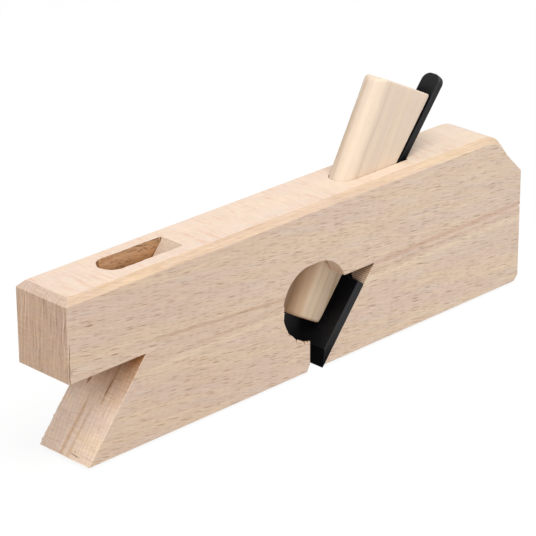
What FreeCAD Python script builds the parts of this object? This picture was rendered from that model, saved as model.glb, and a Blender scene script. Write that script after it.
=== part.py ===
# Wooden corner rabbet plane: a one-piece beech stock, a T-shaped iron and the wedge that holds it.
#
# Frame, millimetres: +Z up, the sole lies on z = 0, the toe points to -X and the heel to +X,
# and the stock is centred on x = 0, y = 0. The iron's edge stands a little below the sole.
# The iron and the wedge sit in the middle bed. A second bed, open to the toe, takes the same
# iron and wedge when the plane has to reach into a corner.
import FreeCAD
import Part
import math
import os

os.makedirs("parts", exist_ok=True)

# ---- Stock -------------------------------------------------------------------------------
stockLength = 270.0         # toe of the nose to the heel
stockWidth = 30.0
stockHeight = 75.0
bedAngle = 51.0             # both beds, measured from the sole
noseOverhang = 8.7          # nose stands this far in front of the sole's toe
topChamfer = 2.75           # along both long top edges, dying out at the heel slope
noseChamfer = 3.0           # across the top of the nose
heelSlopeDrop = 17.2        # 45 degree slope at the top of the heel, before it is planed down
heelSlopeRadius = 19.4      # easing between the top and the heel slope
heelPlanedDepth = 2.9       # planed off the slope after the chamfers, square to it
heelTurnStart = 28.0        # slope of the easing where the planed part begins
heelTurnAngle = 62.0        # steepest slope of the planed part
heelTurnRadius = 6.0
heelFootChamfer = 2.5       # across the bottom of the heel

# ---- Beds, mouth and escapement ----------------------------------------------------------
toeToBed = 134.05           # sole's toe to the foot of the middle bed
slotHeight = 37.9           # ceiling of the full-width slot over the middle bed
toeSeatHeight = 39.4        # ceiling of the full-width seat at the toe
mouthOpening = 8.85         # foot of the bed to the mouth's front wall
mouthWallHeight = 20.0      # front wall runs up into the escapement
mouthBevelRun = 1.7         # bevel where the front wall meets the sole
mouthBevelRise = 3.2
escapementRadius = 16.6     # bored twice, side by side
escapementStretch = 4.8     # between the two bores
escapementAhead = 6.0       # middle of the hole in front of the foot of the bed
escapementHeight = 32.1     # middle of the hole above the sole

# ---- Mortises ----------------------------------------------------------------------------
frontWallAngle = 60.9       # front wall of each mortise, measured from the sole
mainMortiseLength = 40.8    # along the top, round front to bed
toeMortiseLength = 38.5

# ---- Iron --------------------------------------------------------------------------------
ironProjection = 1.3        # edge below the sole
ironLength = 137.2          # edge to the top of the tang
bladeWidth = 30.2
bladeLength = 40.2          # edge to the shoulders
ironEdgeThickness = 4.6     # before the bevel is ground
ironTopThickness = 3.5
bevelAngle = 32.0
neckRadius = 5.0            # hollow between each shoulder and the tang
tangWidth = 10.0
tangOffset = -0.6           # tang is forged a little off the middle
tangCornerRadius = 3.9
shoulderCornerRadius = 0.9
ironArris = 0.35            # broken edges of the tang's top

# ---- Wedge -------------------------------------------------------------------------------
wedgeThickness = 12.0
wedgeStandOut = 47.5        # top end above the stock, measured along the wedge's front
wedgeFootHeight = 22.75     # bottom end above the sole, at the wedge's front
wedgeTopSlope = 26.5        # top end, measured from the sole
wedgeBackRadius = 2.0       # rounding of the two back ends
wedgeFrontArris = 1.1       # rounding of the two front ends
wedgeEdgeArris = 0.4        # broken long back edges

# ---- Clearances --------------------------------------------------------------------------
cheekClearance = 0.2        # wedge to each cheek and to the round front wall
wedgeToIron = 0.05          # lets the tapered iron move under the wedge

bedRadians = math.radians(bedAngle)
wallRadians = math.radians(frontWallAngle)
taperRadians = math.atan((ironEdgeThickness - ironTopThickness) / ironLength)
heelX = stockLength / 2
noseX = -stockLength / 2
toeX = noseX + noseOverhang
bedFootX = toeX + toeToBed
mortiseWidth = wedgeThickness + 2 * cheekClearance
far = 2 * stockLength

across = FreeCAD.Vector(0, 1, 0)
bedUp = FreeCAD.Vector(math.cos(bedRadians), 0, math.sin(bedRadians))
bedOut = FreeCAD.Vector(-math.sin(bedRadians), 0, math.cos(bedRadians))
wallUp = FreeCAD.Vector(math.cos(wallRadians), 0, math.sin(wallRadians))
wallIn = FreeCAD.Vector(math.sin(wallRadians), 0, -math.cos(wallRadians))


def xzPoint(x, z, y=0.0):
    return FreeCAD.Vector(x, y, z)


def bedPoint(footX, along, outward, y=0.0):
    """Point measured from the foot of a bed: along it, and out of it towards the wedge."""
    return FreeCAD.Vector(footX, y, 0) + bedUp * along + bedOut * outward


def prismAcross(points, width):
    """Solid of the given outline in the XZ plane, centred on y = 0 and width wide."""
    moved = [FreeCAD.Vector(p.x, -width / 2, p.z) for p in points]
    face = Part.Face(Part.makePolygon(moved + [moved[0]]))
    return face.extrude(across * width)


def bedX(footX, z):
    """Where a bed is at the height z above the sole."""
    return footX + z / math.tan(bedRadians)


# ---- Stock -------------------------------------------------------------------------------
def heelArcCentre():
    """Centre of the easing between the top and the heel slope, as x and z."""
    tangent = heelSlopeRadius * math.tan(math.radians(22.5))
    return heelX - heelSlopeDrop - tangent, stockHeight - heelSlopeRadius


def onArc(centre, radius, degrees):
    """Point of an easing where its surface has fallen to a slope of this many degrees."""
    angle = math.radians(degrees)
    return xzPoint(centre[0] + radius * math.sin(angle), centre[1] + radius * math.cos(angle))


def arcEdge(centre, radius, start, end):
    points = [onArc(centre, radius, degrees) for degrees in (start, (start + end) / 2, end)]
    return Part.Arc(*points).toShape()


def lineEdges(points):
    return [Part.LineSegment(a, b).toShape() for a, b in zip(points, points[1:])]


def spreadAcross(edges, width):
    """Solid of a closed outline in the XZ plane, centred on y = 0 and width wide."""
    wire = Part.Wire(edges)
    wire.translate(across * (-width / 2))
    return Part.Face(wire).extrude(across * width)


def stockBlock():
    """Block with the 45 degree heel slope and its easing, before any chamfer."""
    centre = heelArcCentre()
    arcStart = onArc(centre, heelSlopeRadius, 0)
    arcEnd = onArc(centre, heelSlopeRadius, 45)
    edges = lineEdges([xzPoint(noseX, 0), xzPoint(noseX, stockHeight), arcStart])
    edges.append(arcEdge(centre, heelSlopeRadius, 0, 45))
    edges += lineEdges([arcEnd, xzPoint(heelX, stockHeight - heelSlopeDrop),
                        xzPoint(heelX, 0), xzPoint(noseX, 0)])
    return spreadAcross(edges, stockWidth)


def heelRelief():
    """What is planed off the heel slope, so that the long chamfers die out on it."""
    centre = heelArcCentre()
    start = onArc(centre, heelSlopeRadius, heelTurnStart)
    inner = onArc((0, 0), heelSlopeRadius - heelTurnRadius, heelTurnStart)
    turnCentre = (centre[0] + inner.x, centre[1] + inner.z)
    turnEnd = onArc(turnCentre, heelTurnRadius, heelTurnAngle)
    slopeSum = heelX + stockHeight - heelSlopeDrop - heelPlanedDepth * math.sqrt(2)
    steep = math.radians(heelTurnAngle)
    run = (turnEnd.x + turnEnd.z - slopeSum) / (math.sin(steep) - math.cos(steep))
    foot = turnEnd + xzPoint(math.cos(steep), -math.sin(steep)) * run
    outX = heelX + 5
    high = onArc(centre, heelSlopeRadius + 20, heelTurnStart)
    edges = [arcEdge(turnCentre, heelTurnRadius, heelTurnStart, heelTurnAngle)]
    edges += lineEdges([turnEnd, foot, xzPoint(outX, slopeSum - outX), xzPoint(outX, high.z), high, start])
    return spreadAcross(edges, stockWidth + 2)


def stockBlank():
    """Planed block with its worked chamfers: long top edges, nose and foot of the heel."""
    block = stockBlock()
    sideEdges = []
    for edge in block.Edges:
        box = edge.BoundBox
        if box.YLength < 0.01 and box.ZMin > stockHeight - heelSlopeDrop - 0.01 and box.XLength > 0.01:
            sideEdges.append(edge)
    block = block.makeChamfer(topChamfer, sideEdges)
    nose = prismAcross([xzPoint(noseX - 1, stockHeight - noseChamfer - 1),
                        xzPoint(noseX + noseChamfer + 1, stockHeight + 1),
                        xzPoint(noseX - 1, stockHeight + 1)], stockWidth + 2)
    foot = prismAcross([xzPoint(heelX + 1, heelFootChamfer + 1),
                        xzPoint(heelX - heelFootChamfer - 1, -1),
                        xzPoint(heelX + 1, -1)], stockWidth + 2)
    return block.cut([nose, foot, heelRelief()])


def roundFrontPrism(frontTopX, radius, depth, below, above):
    """Bar with a full-round front that leans with the mortise's front wall.

    frontTopX is where its front crosses the top of the stock. The bar runs depth back from
    the front, and from below to above, both measured along the front from the stock's top.
    """
    front = FreeCAD.Vector(frontTopX, 0, stockHeight) + wallUp * below
    centre = front + wallIn * radius
    left = centre - across * radius
    right = centre + across * radius
    backLeft = left + wallIn * depth
    backRight = right + wallIn * depth
    edges = [Part.Arc(left, front, right).toShape(),
             Part.LineSegment(right, backRight).toShape(),
             Part.LineSegment(backRight, backLeft).toShape(),
             Part.LineSegment(backLeft, left).toShape()]
    return Part.Face(Part.Wire(edges)).extrude(wallUp * (above - below))


def inFrontOfBed(footX):
    """Large solid on the wedge's side of a bed, used to end a mortise at that bed."""
    return prismAcross([bedPoint(footX, -far, 0), bedPoint(footX, far, 0),
                        bedPoint(footX, far, far), bedPoint(footX, -far, far)], far)


def mortise(footX, lengthOnTop, floorZ):
    """Slot for the wedge and the tang, from the top of the stock down to floorZ."""
    frontX = bedX(footX, stockHeight) - lengthOnTop
    bar = roundFrontPrism(frontX, mortiseWidth / 2, far / 4, -stockHeight * 2, stockHeight)
    keep = Part.makeBox(2 * far, far, stockHeight + 1 - floorZ,
                        FreeCAD.Vector(-far, -far / 2, floorZ))
    return bar.common(inFrontOfBed(footX)).common(keep)


def escapement():
    """Full-width shaving space: the oval hole, the slot over the bed, and the mouth."""
    wide = stockWidth + 2
    holeX = bedFootX - escapementAhead
    half = escapementStretch / 2
    left = Part.makeCylinder(escapementRadius, wide,
                             xzPoint(holeX - half, escapementHeight, -wide / 2), across)
    right = Part.makeCylinder(escapementRadius, wide,
                              xzPoint(holeX + half, escapementHeight, -wide / 2), across)
    middle = Part.makeBox(escapementStretch, wide, 2 * escapementRadius,
                          xzPoint(holeX - half, escapementHeight - escapementRadius, -wide / 2))
    hole = left.fuse([right, middle]).common(inFrontOfBed(bedFootX))
    mouthX = bedFootX - mouthOpening
    throat = prismAcross([xzPoint(bedX(bedFootX, -1), -1),
                          xzPoint(bedX(bedFootX, slotHeight), slotHeight),
                          xzPoint(holeX, slotHeight),
                          xzPoint(mouthX, mouthWallHeight),
                          xzPoint(mouthX, mouthBevelRise),
                          xzPoint(mouthX - mouthBevelRun, 0),
                          xzPoint(mouthX - mouthBevelRun, -1)], wide)
    return hole.fuse(throat)


def toeSeat():
    """Open seat at the toe: a bed as wide as the stock under the nose."""
    return prismAcross([xzPoint(bedX(toeX, -1), -1),
                        xzPoint(bedX(toeX, toeSeatHeight), toeSeatHeight),
                        xzPoint(noseX - 1, toeSeatHeight),
                        xzPoint(noseX - 1, -1)], stockWidth + 2)


def makeStock():
    stock = stockBlank()
    stock = stock.cut(toeSeat())
    stock = stock.cut(mortise(toeX, toeMortiseLength, toeSeatHeight - 1))
    stock = stock.cut(mortise(bedFootX, mainMortiseLength, escapementHeight))
    stock = stock.cut(escapement())
    return stock.removeSplitter()


# ---- Iron --------------------------------------------------------------------------------
def ironEdgeAlong():
    """Where the cutting edge lies along the bed, for the stated projection."""
    return -ironProjection / math.sin(bedRadians)


def ironThickness(along):
    return ironEdgeThickness - (along - ironEdgeAlong()) * math.tan(taperRadians)


def ironSection():
    """Side section of the iron: flat back on the bed, tapered face, bevel at the edge."""
    low = ironEdgeAlong()
    high = low + ironLength
    bevelRun = ironEdgeThickness / (math.tan(math.radians(bevelAngle)) + math.tan(taperRadians))
    bevelTop = low + bevelRun
    outline = [bedPoint(bedFootX, low, 0), bedPoint(bedFootX, high, 0),
               bedPoint(bedFootX, high, ironThickness(high)),
               bedPoint(bedFootX, bevelTop, ironThickness(bevelTop))]
    return prismAcross(outline, bladeWidth + 2)


def ironPlan():
    """Outline of the iron seen square to the bed, as a bar thicker than the iron."""
    low = ironEdgeAlong()
    shoulder = low + bladeLength
    top = low + ironLength
    half = bladeWidth / 2
    right = tangOffset + tangWidth / 2
    left = tangOffset - tangWidth / 2
    plan = [(low, -half), (shoulder, -half), (shoulder, left), (top, left),
            (top, right), (shoulder, right), (shoulder, half), (low, half)]
    points = [bedPoint(bedFootX, along, -1, y) for along, y in plan]
    bar = Part.Face(Part.makePolygon(points + [points[0]])).extrude(bedOut * 10)
    for radius, along, sides in ((tangCornerRadius, top, (left, right)),
                                 (shoulderCornerRadius, shoulder, (-half, half)),
                                 (neckRadius, shoulder, (left, right))):
        corners = [bedPoint(bedFootX, along, 0, y) for y in sides]
        bar = bar.makeFillet(radius, edgesNear(bar, corners, bedOut))
    return bar


def edgesNear(shape, points, direction):
    """Straight edges of the shape that run along direction through any of the points."""
    found = []
    for edge in shape.Edges:
        if len(edge.Vertexes) != 2:
            continue
        start = edge.Vertexes[0].Point
        run = edge.Vertexes[1].Point - start
        if run.cross(direction).Length > 1e-4 * run.Length:
            continue
        for point in points:
            if (point - start).cross(direction).Length < 1e-4:
                found.append(edge)
                break
    return found


def makeIron():
    iron = ironSection().common(ironPlan())
    topAlong = ironEdgeAlong() + ironLength - tangCornerRadius
    soft = []
    for edge in iron.Edges:
        middle = edge.valueAt((edge.FirstParameter + edge.LastParameter) / 2)
        along = (middle - FreeCAD.Vector(bedFootX, 0, 0)).dot(bedUp)
        square = abs((edge.Vertexes[-1].Point - edge.Vertexes[0].Point).dot(bedOut)) > 1
        if along > topAlong and not square:
            soft.append(edge)
    return iron.makeChamfer(ironArris, soft)


# ---- Wedge -------------------------------------------------------------------------------
def ironFace():
    """Two points on the plane just off the iron's face, and that plane's direction outwards."""
    low = ironEdgeAlong()
    high = low + ironLength
    start = bedPoint(bedFootX, low, ironThickness(low) + wedgeToIron)
    end = bedPoint(bedFootX, high, ironThickness(high) + wedgeToIron)
    outward = (end - start).normalize().cross(across)
    return start, end, outward


def makeWedge():
    """Full-round front in the mortise, flat back along the iron's face."""
    wallTopX = bedX(bedFootX, stockHeight) - mainMortiseLength
    frontTopX = wallTopX + cheekClearance / math.sin(wallRadians)
    foot = (wedgeFootHeight - stockHeight) / math.sin(wallRadians)
    bar = roundFrontPrism(frontTopX, wedgeThickness / 2, far / 4, foot, stockHeight)
    start, end, outward = ironFace()
    slide = (end - start).normalize()
    low = start - slide * far
    high = end + slide * far
    wedge = bar.common(prismAcross([low, high, high + outward * far, low + outward * far], far))
    topFront = xzPoint(frontTopX, stockHeight) + wallUp * wedgeStandOut
    slope = math.radians(wedgeTopSlope)
    down = xzPoint(math.cos(slope), -math.sin(slope))
    above = xzPoint(math.sin(slope), math.cos(slope))
    left = topFront - down * far
    right = topFront + down * far
    wedge = wedge.cut(prismAcross([left, right, right + above * far, left + above * far], far))

    def onBack(edge):
        return all(abs((v.Point - start).dot(outward)) < 1e-4 for v in edge.Vertexes)

    backEnds = [e for e in wedge.Edges if onBack(e) and e.BoundBox.XLength < 0.01]
    wedge = wedge.makeFillet(wedgeBackRadius, backEnds)
    longEdges = [e for e in wedge.Edges if onBack(e) and e.BoundBox.YLength < 0.01]
    wedge = wedge.makeChamfer(wedgeEdgeArris, longEdges)
    frontEnds = [e for e in wedge.Edges if not isinstance(e.Curve, Part.Line)
                 and e.BoundBox.YLength > wedgeThickness - 0.01]
    return wedge.makeFillet(wedgeFrontArris, frontEnds)


def report(name, shape):
    box = shape.optimalBoundingBox(True)
    extent = [round(v, 2) for v in (box.XMin, box.XMax, box.YMin, box.YMax, box.ZMin, box.ZMax)]
    print(name, "valid", shape.isValid(), "solids", len(shape.Solids),
          "volume cm3", round(shape.Volume / 1000, 2), "extent mm", extent)


def makePieces():
    return {"stock": makeStock(), "iron": makeIron(), "wedge": makeWedge()}


pieces = makePieces()
for name, shape in pieces.items():
    report(name, shape)
    shape.exportStep("parts/" + name + ".step")
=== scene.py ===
import math
from types import SimpleNamespace

import bmesh
import bpy
import numpy as np
from mathutils import Matrix, Vector


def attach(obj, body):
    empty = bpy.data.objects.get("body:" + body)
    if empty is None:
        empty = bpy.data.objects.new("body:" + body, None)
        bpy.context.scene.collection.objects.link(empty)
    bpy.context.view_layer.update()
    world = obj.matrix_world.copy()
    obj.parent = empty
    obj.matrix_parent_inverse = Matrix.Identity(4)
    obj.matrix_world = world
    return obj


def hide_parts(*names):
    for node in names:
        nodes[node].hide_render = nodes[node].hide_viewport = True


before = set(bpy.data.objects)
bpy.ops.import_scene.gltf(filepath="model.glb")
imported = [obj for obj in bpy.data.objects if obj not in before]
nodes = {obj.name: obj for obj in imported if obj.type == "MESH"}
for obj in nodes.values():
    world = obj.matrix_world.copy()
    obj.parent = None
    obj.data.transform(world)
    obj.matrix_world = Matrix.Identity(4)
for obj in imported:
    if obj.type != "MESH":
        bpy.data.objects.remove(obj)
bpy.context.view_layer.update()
scene = bpy.context.scene
mm = 0.001
white = (1.0, 1.0, 1.0, 1.0)
print("frame loaded:", ", ".join(sorted(nodes)))


# Turns a 0-255 screen colour into linear light: each channel through the sRGB curve.
def tone(red, green, blue):
    share = np.array([red, green, blue]) / 255.0
    linear = np.where(share <= 0.04045, share / 12.92, ((share + 0.055) / 1.055) ** 2.4)
    return (*[float(v) for v in linear], 1.0)


# One shader node: named settings first, then each input linked or set. A node with a linked input joins that tree.
def put(kind, inputs=None, tree=None, **settings):
    inputs = inputs or {}
    linked = {key: value for key, value in inputs.items() if isinstance(value, bpy.types.NodeSocket)}
    tree = tree or next(iter(linked.values())).id_data
    node = tree.nodes.new("ShaderNode" + kind)
    for key, value in settings.items():
        setattr(node, key, value)
    for key, value in inputs.items():
        if key in linked:
            tree.links.new(value, node.inputs[key])
        else:
            node.inputs[key].default_value = value
    return node


# One sum, product, power or the like of two numbers, kept between 0 and 1 when clamped.
def maths(operation, first, second=0.0, clamp=False):
    return put("Math", {0: first, 1: second}, operation=operation, use_clamp=clamp).outputs[0]


# Product of all the numbers, from left to right.
def times(first, *others):
    for other in others:
        first = maths("MULTIPLY", first, other)
    return first


# First number plus the second.
def plus(first, second):
    return maths("ADD", first, second)


# First number less the second.
def minus(first, second):
    return maths("SUBTRACT", first, second)


# The number without its sign.
def unsigned(value):
    return maths("ABSOLUTE", value)


# What a mask spares: 1 less its share.
def spared(mask, share):
    return minus(1.0, times(mask, share))


# How far a noise stands from its middle, times an amount.
def swing(value, amount, middle=0.5):
    return times(minus(value, middle), amount)


# Smooth step: 0 below low, 1 above high, eased between; low above high turns it round.
def step(value, low, high, start=0.0, end=1.0):
    if low > high:
        low, high, start, end = high, low, end, start
    return put("MapRange", {"Value": value, "From Min": low, "From Max": high, "To Min": start, "To Max": end},
               interpolation_type="SMOOTHSTEP").outputs[0]


# Product of a rising and a falling smooth step.
def window(value, rise, fall):
    return times(step(value, *rise), step(value, *fall))


# First colour where the amount is 0, second where it is 1, and the share of each between.
def mix(amount, first, second, mode="MIX"):
    return put("Mix", {0: amount, 6: first, 7: second}, data_type="RGBA", blend_type=mode).outputs[2]


# First colour times the second.
def multiplied(first, second):
    return mix(1.0, first, second, "MULTIPLY")


# The colour times a tint, as far as the amount says.
def tinted(amount, colour, tint):
    return mix(amount, colour, multiplied(colour, tint))


# x, y and z of a vector.
def split(vector):
    return put("SeparateXYZ", {0: vector}).outputs


# Two vectors added, subtracted or multiplied.
def vectors(operation, first, second):
    return put("VectorMath", {0: first, 1: second}, operation=operation).outputs[0]


# Vector turned round X and then Y by degrees.
def turned(vector, aboutX, aboutY):
    angles = (math.radians(aboutX), math.radians(aboutY), 0.0)
    return put("Mapping", {"Vector": vector, "Rotation": angles}).outputs[0]


# Coordinates divided by a cell size in x, y and z, then shifted.
def cells(vector, size, shift):
    return put("Mapping", {"Vector": vector, "Scale": [1.0 / s for s in size], "Location": shift}).outputs[0]


# Cloudy random numbers round 0.5, whose clouds have the size given in mm.
def noise(vector, size, detail, roughness=0.5, shift=(0.0, 0.0, 0.0)):
    return put("TexNoise", {"Vector": cells(vector, size, shift), "Scale": 1.0, "Detail": detail,
                            "Roughness": roughness}).outputs[0]


# Smooth step of a noise.
def clouds(vector, kind, mask):
    return step(noise(vector, *kind), *mask)


# Lens-shaped dashes, at most one in each random cell: the distance to the cell's own point is measured in half sizes,
# 1 at the point and 0 past one half size. A random number sets each dash's strength.
def dashes(vector, size, half, shift, weakest, strongest):
    place = cells(vector, size, shift)
    cell = put("TexVoronoi", {"Vector": place, "Scale": 1.0, "Randomness": 0.9})
    apart = vectors("SUBTRACT", place, cell.outputs["Position"])
    scaled = vectors("MULTIPLY", apart, [s / h for s, h in zip(size, half)])
    length = put("VectorMath", {0: scaled}, operation="LENGTH").outputs["Value"]
    chance = put("SeparateColor", {0: cell.outputs["Color"]}).outputs[0]
    return times(step(length, 1.0, 0.35), step(chance, weakest, strongest))


# Of a distance in years: the share of the year that has passed, and one random number for each year.
def calendar(years):
    year = put("TexWhiteNoise", {"W": maths("FLOOR", years)}, noise_dimensions="1D").outputs[0]
    return maths("FRACT", years), year


# Edge mask: the normal rounded over a radius, times the face's own, is 1 on a flat and falls towards an edge.
def arrisMask(tree, radius, full):
    rounded = put("Bevel", {"Radius": radius * mm}, tree, samples=4).outputs[0]
    plain = put("NewGeometry", tree=tree).outputs["Normal"]
    agreement = put("VectorMath", {0: rounded, 1: plain}, operation="DOT_PRODUCT").outputs["Value"]
    return step(agreement, 0.995, full)


# Openness of a place: 1 in the open, less the more the surface within reach closes it in.
def openness(tree, reach, onlyLocal=False):
    return put("AmbientOcclusion", {"Distance": reach * mm}, tree, samples=8, only_local=onlyLocal).outputs["AO"]


# Object coordinates in mm, and the normal.
def places(tree):
    coordinates = put("TexCoord", tree=tree).outputs
    return put("Mapping", {"Vector": coordinates["Object"], "Scale": (1 / mm,) * 3}).outputs[0], coordinates["Normal"]


# A new material with a Principled shader on its output, of the look's specular level when it has one.
def newMaterial(name, look):
    material = bpy.data.materials.new(name)
    material.use_nodes = True
    tree = material.node_tree
    tree.nodes.clear()
    shader = put("BsdfPrincipled", tree=tree)
    put("OutputMaterial", {"Surface": shader.outputs[0]})
    if "specular" in look:
        shader.inputs["Specular IOR Level"].default_value = look["specular"]
    return material, tree, shader


# Links colour and roughness to the shader, and a height to its normal through a bump (strength, height in mm).
def finishShader(shader, colour, roughness, height, strength, distance):
    bump = put("Bump", {"Height": height, "Strength": strength, "Distance": distance * mm}).outputs[0]
    for key, value in {"Base Color": colour, "Roughness": roughness, "Normal": bump}.items():
        shader.id_data.links.new(value, shader.inputs[key])


# In the three looks a noise is (size, detail, roughness, shift), dashes are (size, half size, shift, weakest,
# strongest) and a mask is (low, high, value at low, value at high). Sizes are in mm, colours on the 0-255 scale.
beechLook = {
    "endFace": (0.68, 0.97),  # masks on the normal's x, y or z
    "partEnd": (0.25, 0.8),
    "levelFace": (0.8, 0.96),
    "chamfer": (0.45, 0.65),
    "nearFace": (-0.35, -0.9),
    "bedFaceX": (-0.6, -0.72),
    "bedFaceZ": (0.45, 0.58),

    "tilt": -8.0,  # fibres against the sole, falling towards the heel
    "sway": ((55.0, 30.0, 24.0), 2.0),
    "swayHeight": 5.0,
    "pink": tone(218, 193, 173),
    "cream": tone(223, 198, 170),
    "patch": (((75.0, 16.0, 7.0), 3.0, 0.6, (3.1, 0.4, 1.7)), (0.34, 0.66)),
    "greyed": tone(216, 196, 181),
    "cloud": ((26.0, 9.0, 3.2), 3.0, 0.6, (7.7, 2.4, 0.3)),
    "greyedMask": (0.45, 0.72, 0.0, 0.6),
    "fibre": ((8.0, 1.1, 0.42), 3.0, 0.65, (1.2, 5.1, 8.3)),
    "threads": ((17.0, 5.0, 1.3), 3.0, 0.65, (6.2, 2.1, 4.3)),
    "shade": (0.68, 0.36, 0.20),  # the darkest, what the fibres add and what the threads add
    "browning": (1.2, 1.4),  # powers of the shade in green and blue, which make dark wood brown

    "ringMiddle": (-150.0, 35.3),  # y and z of the pith, far behind the stock
    "ringSpacing": 1.9,
    "ringWobble": ((80.0, 22.0, 22.0), 2.0, 0.5, (4.4, 1.1, 6.0)),
    "ringWobbleHeight": 4.0,
    "latewood": ((0.35, 0.85), (1.0, 0.9)),
    "ringYear": (0.1, 1.0, 0.25, 1.0),
    "ringShare": (0.06, 0.12),  # on a side, and what an end adds
    "ringColour": tone(176, 138, 110),

    "waver": ((60.0, 40.0, 40.0), 1.0),
    "waverHeight": 2.2,
    "bandFade": (0.15, 30.0, 4.0),  # share of the half width that is full, and the fades at both ends
    "streak": tone(184, 140, 98),
    "streakFade": (0.5, 3.0, 6.0),  # share of the waver, and the fades at both ends

    "ray": tone(152, 108, 78),
    "longRays": ((7.2, 11.0, 0.95), (3.5, 6.0, 0.21), (0.0, 0.37, 0.0), -0.2, 1.1),
    "longRayShare": 0.8,
    "shortRays": ((3.8, 8.0, 0.58), (1.9, 4.5, 0.17), (5.3, 0.11, 2.9), 0.0, 1.1),
    "shortRayShare": 0.45,
    "raysLost": (0.85, 0.8, 0.7),  # on level faces, on ends and on chamfers

    "bend": ((9.0, 7.0, 9.0), 2.0, 0.5, (3.0, 0.0, 1.0)),
    "bendWidth": 3.0,
    "bendRise": 0.5,
    "lean": 0.035,
    "reeds": ((30.0, 0.75, 24.0), 4.0, 0.7, (2.0, 0.0, 0.0)),
    "reedShare": (1.15, 0.78),  # on an end, and what a bed loses
    "reedGroups": (((40.0, 5.0, 26.0), 2.0, 0.5, (5.0, 2.0, 0.0)), (0.35, 0.65, 0.45, 1.45)),
    "crossing": ((0.8, 9.0, 0.7), 3.0, 0.7, (0.0, 6.0, 0.0)),
    "crossShare": 0.12,
    "woven": (((12.0, 5.0, 9.0), 3.0, 0.6, (2.0, 7.0, 1.0)), (0.40, 0.62, 0.10, 0.55)),
    "hairlines": ((40.0, 1.05, 13.0), (30.0, 0.17, 6.5), (0.3, 0.0, 0.7), 0.1, 1.0),
    "hairlineHeight": (44.0, 70.0, 0.26, 0.62),
    "scratches": ((40.0, 16.0, 4.2), (30.0, 7.0, 0.13), (0.2, 0.5, 0.1), 0.2, 1.0),
    "scratchTurn": 26.0,
    "scratchShare": 0.12,
    # painted light at the feet of the beds
    "bedLight": (36.0, 16.0, -0.02, 0.19),
    "milled": (0.5, 9.5, 0.30),  # cutter waves on the slot's bed: drift, radians to the mm, strength
    "milledLength": (-20.0, 0.0),
    "shimmer": ((2.6, 30.0, 30.0), 3.0, 0.6, (0.0, 0.0, 7.0)),
    "shimmerShare": 0.20,
    "planed": ((45.0, 0.7, 0.7), 3.0, 0.6, (0.0, 9.0, 0.0)),
    "planedShare": (0.4, 0.55),  # strength and middle

    "endTint": tone(246, 236, 229),
    # partly the top's own paler tone, partly a painted sheen on the lit top
    "topColour": tone(243, 224, 207),
    "topShare": 0.42,
    "feather": tone(220, 180, 154),  # short streaks across the top
    "feathers": (((1.5, 11.0, 30.0), 4.0, 0.7, (0.0, 3.0, 0.0)), (0.50, 0.68)),
    "featherCloud": (0.30, 0.60, 0.30, 0.80),
    "featherLength": (108.0, 90.0, 0.15, 1.0),
    "chamferTint": tone(254, 250, 242),
    # painted light: darker at the toe, brighter at the heel and most on its near side
    "toeTint": tone(251, 250, 251),
    "heelTint": tone(252, 253, 252),
    "heelSideTint": tone(258, 261, 265),
    "toeToHeel": (-120.0, 120.0),

    # Painted shade: the tint of closed-in places, of the mortises' walls (partly their own rougher wood) and of the
    # toe bed under the nose.
    "cavity": tone(196, 156, 106),
    "cavityReach": 16.0,
    "cavityMask": (0.94, 0.42),
    "mortiseWidth": (7.8, 7.3),  # walls of the mortises: y, z, and distance in x from a middle
    "mortiseHeight": ((38.0, 44.0), (74.95, 74.6)),
    "mortiseMiddle": 15.0,
    "mortiseEnds": (110.0, 100.0),
    "mortiseShare": 0.85,
    # painted light: the mortise's bed painted paler, with less painted shade
    "chiselled": (-20.0, -40.0, 0.3, 1.0),
    "chiselledLight": 0.45,
    "chiselledSpared": 0.85,
    "slot": (0.0, 10.0),
    "slotSpared": 0.55,
    # painted shade towards the top of the slot's bed, under its ceiling
    "slotBrowning": (24.0, 31.0, 0.0, 0.25),
    "bedShade": ((14.0, 34.0, 0.0, 0.55), (42.0, 39.0)),
    "torn": tone(112, 74, 46),  # chisel marks in the mortises
    "tears": (((4.2, 2.5, 0.8), 4.0, 0.75, (8.0, 1.0, 5.0)), (0.50, 0.62)),
    "tearHeight": (44.0, 50.0, 0.15, 0.9),
    "burnt": tone(92, 78, 66),  # painted shadow under the slot's ceiling, also the painted shade towards the slot bed's top
    "burntHeight": (36.6, 37.9, 0.0, 0.75),
    "burntWander": 1.5,

    # pale edges: worn wood and a painted highlight; also the colour of the mortise bed's painted light
    "arris": tone(240, 222, 200),
    "arrisMask": (0.45, 0.85),
    "wear": (((6.0, 6.0, 6.0), 3.0), (0.35, 0.65, 0.1, 0.7)),
    "roughness": (0.3, 1.1, 0.5, 0.68),
    "roughRays": 0.5,
    "specular": 0.32,
    "relief": (0.6, 0.8, 1.2),  # of the fibres, the rays and an end's ridges
    "ridges": ((4.0, 2.2, 0.5), 2.0, 0.6, (9.0, 3.0, 2.0)),
    "bump": (0.45, 0.12),
}

# Colour bands on the near side: height at x = 0, rise per mm, half width, strength, where in x they run, colour.
beechBands = [
    (31.2, 0.0, 3.0, 0.55, -110, 160, tone(226, 203, 174)),
    (31.4, 0.0, 1.0, 0.45, -110, 160, tone(234, 212, 184)),
    (34.4, 0.0, 1.5, 0.30, -90, 160, tone(200, 164, 136)),
    (37.6, 0.002, 1.9, 0.60, 20, 160, tone(204, 165, 142)),
    (36.9, -0.080, 1.3, 0.55, -105, 5, tone(194, 158, 130)),
]

# Brown streaks down the toe bed: y, half width, strength, and the heights they run between.
bedStreaks = [
    (2.6, 1.5, 0.60, -2.0, 22.0),
    (-1.4, 1.1, 0.45, -2.0, 21.0),
    (-5.2, 1.2, 0.60, 18.0, 38.0),
    (-0.6, 0.9, 0.40, 26.0, 38.0),
]


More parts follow.
